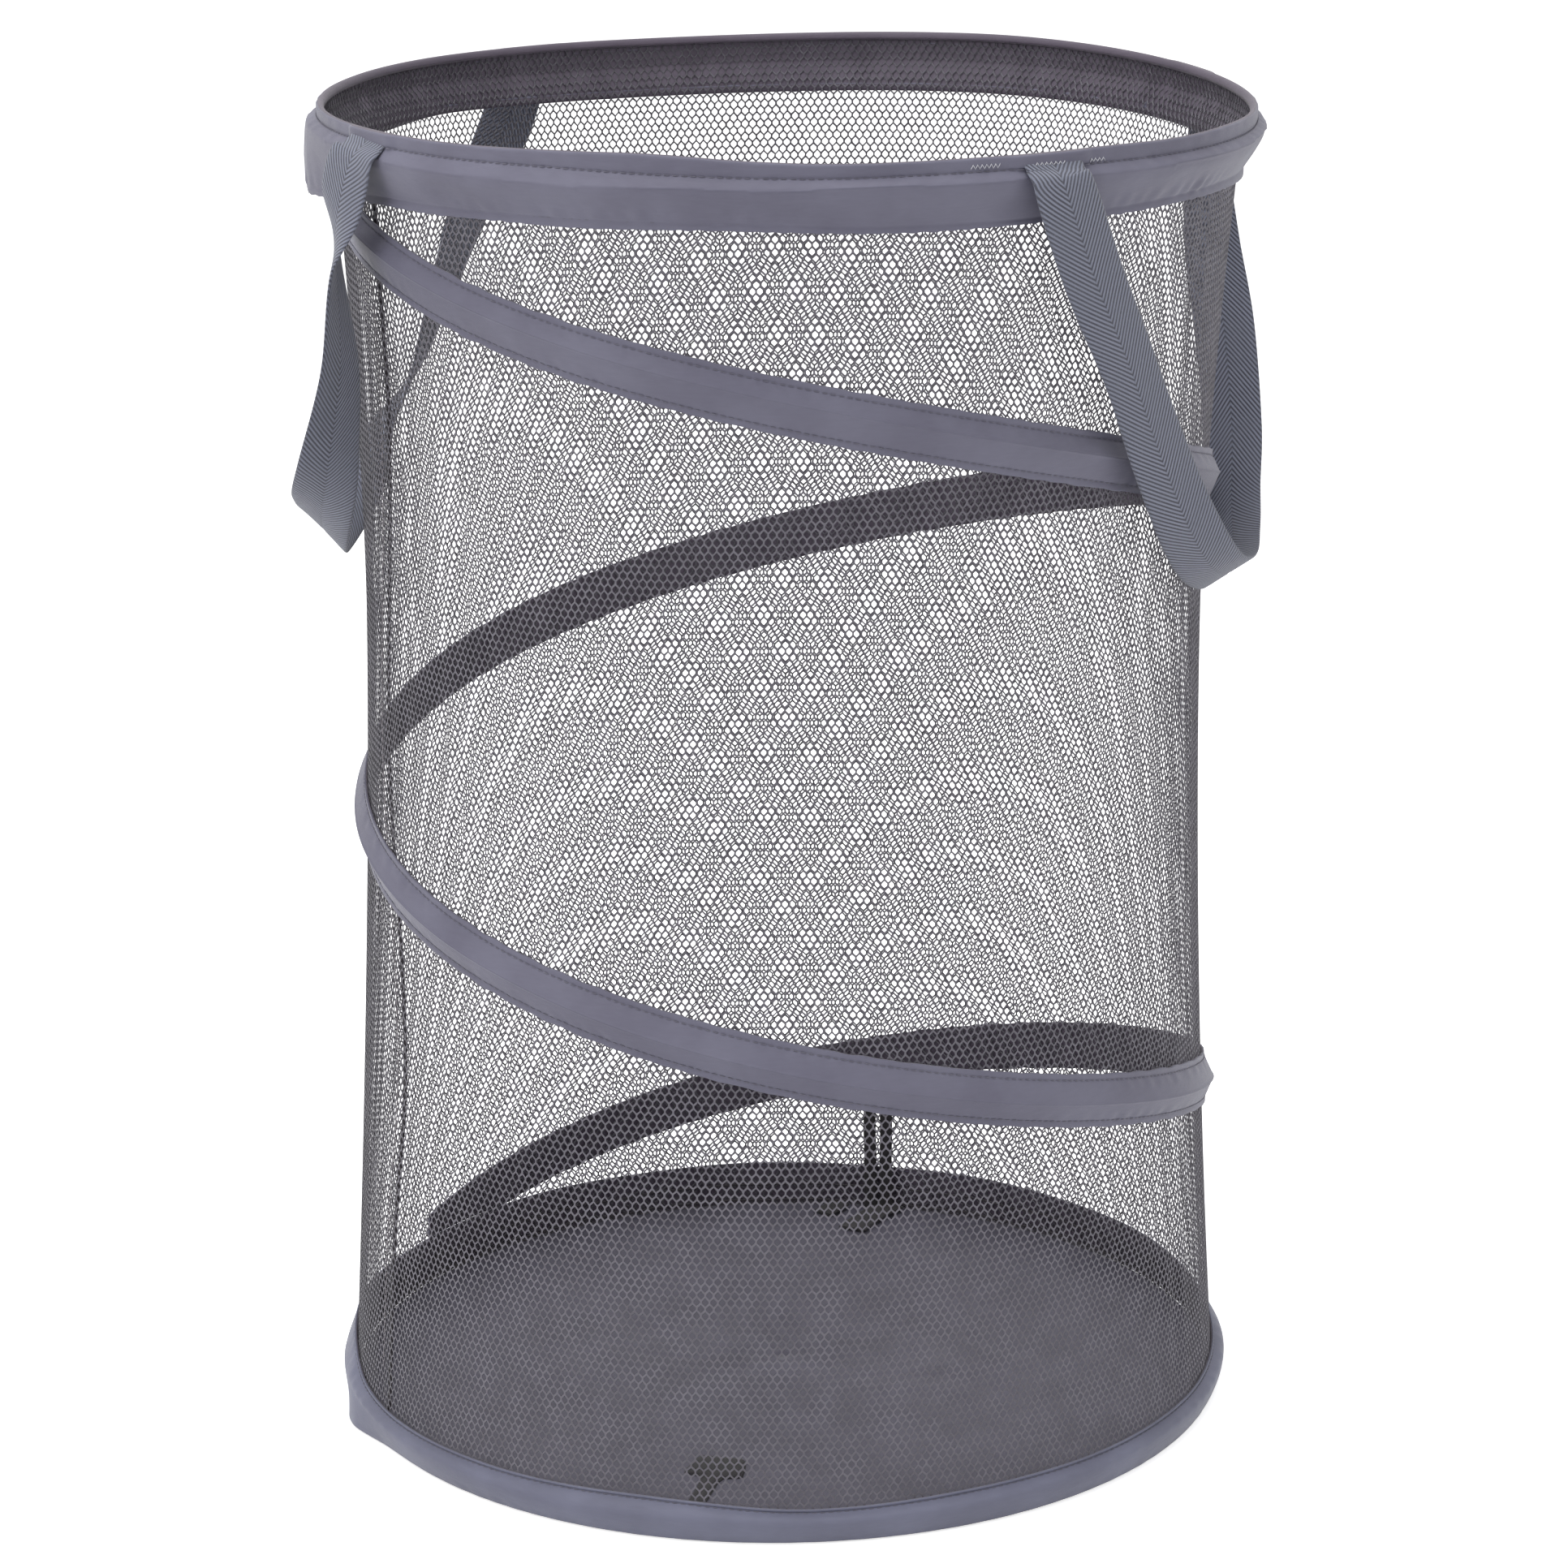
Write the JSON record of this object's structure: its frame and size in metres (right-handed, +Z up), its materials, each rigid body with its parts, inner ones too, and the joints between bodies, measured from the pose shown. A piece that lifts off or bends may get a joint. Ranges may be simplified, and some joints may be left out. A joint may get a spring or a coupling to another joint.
{
  "type": "pop up laundry hamper",
  "caption": "Cylindrical pop up laundry hamper with an open top, a net wall on a spiral spring wire, fabric sleeved hoops and webbing carrying handles.",
  "frame": {"origin": "centre of the floor panel's underside, on the surface that the hamper stands on", "axes": "+Z up, -Y towards the front as pictured, +X to the right; the two handles hang at the left and right"},
  "size_m": [0.3996, 0.3718, 0.5334],
  "materials": {
    "fabric": "smooth woven lining cloth, slight sheen",
    "net": "matt knitted net",
    "dark_fabric": "matt binding",
    "webbing": "matt herringbone webbing",
    "spring_wire": "drawn wire",
    "cap_plastic": "moulded",
    "black_ribbon": "matt ribbon"
  },
  "bodies": {
    "base": {"floor_panel": "fabric", "side_mesh": "net", "seam_tape": "dark_fabric", "bottom_hoop_wire": "spring_wire", "bottom_hoop_ferrule": "spring_wire", "bottom_sleeve": "fabric", "spiral_wire": "spring_wire", "spiral_cap_lower": "cap_plastic", "spiral_sleeve": "fabric"},
    "top": {"top_hoop_wire": "spring_wire", "top_hoop_ferrule": "spring_wire", "top_sleeve": "fabric", "spiral_cap_upper": "cap_plastic", "handle_tack_left_front": "webbing", "handle_tack_left_rear": "webbing", "handle_tack_right_front": "webbing", "handle_tack_right_rear": "webbing"},
    "left_handle": {"handle_left": "webbing"},
    "right_handle": {"handle_right": "webbing"},
    "rear_tie": {"closure_tie_rear": "black_ribbon"},
    "front_tie": {"closure_tie_front": "black_ribbon"}
  },
  "joints": [
    {"name": "collapse", "type": "slide", "parent": "base", "child": "top", "axis": [0, 0, -1], "range_m": [0, 0.46], "stiffness_N_per_m": 30, "springref_m": -0.15, "deforming": ["side_mesh", "seam_tape", "spiral_wire", "spiral_sleeve", "handle_left", "handle_right"]},
    {"name": "left_handle_swing", "type": "hinge", "parent": "top", "child": "left_handle", "pos_m": [-0.12769, 0.02382, 0.52854], "axis": [0.1736, 0.9848, -0.0017], "range_deg": [0, 150]},
    {"name": "right_handle_swing", "type": "hinge", "parent": "top", "child": "right_handle", "pos_m": [0.13853, -0.0401, 0.52773], "axis": [-0.2924, -0.9563, 0.0065], "range_deg": [0, 150]},
    {"name": "rear_tie_flop", "type": "hinge", "parent": "base", "child": "rear_tie", "pos_m": [0.04355, 0.16718, 0.00155], "axis": [0.9677, -0.2521, 0], "range_deg": [0, 88]},
    {"name": "front_tie_lift", "type": "hinge", "parent": "base", "child": "front_tie", "pos_m": [-0.03678, -0.17302, 0.00275], "axis": [0.9781, -0.2079, 0], "range_deg": [0, 80]}
  ]
}
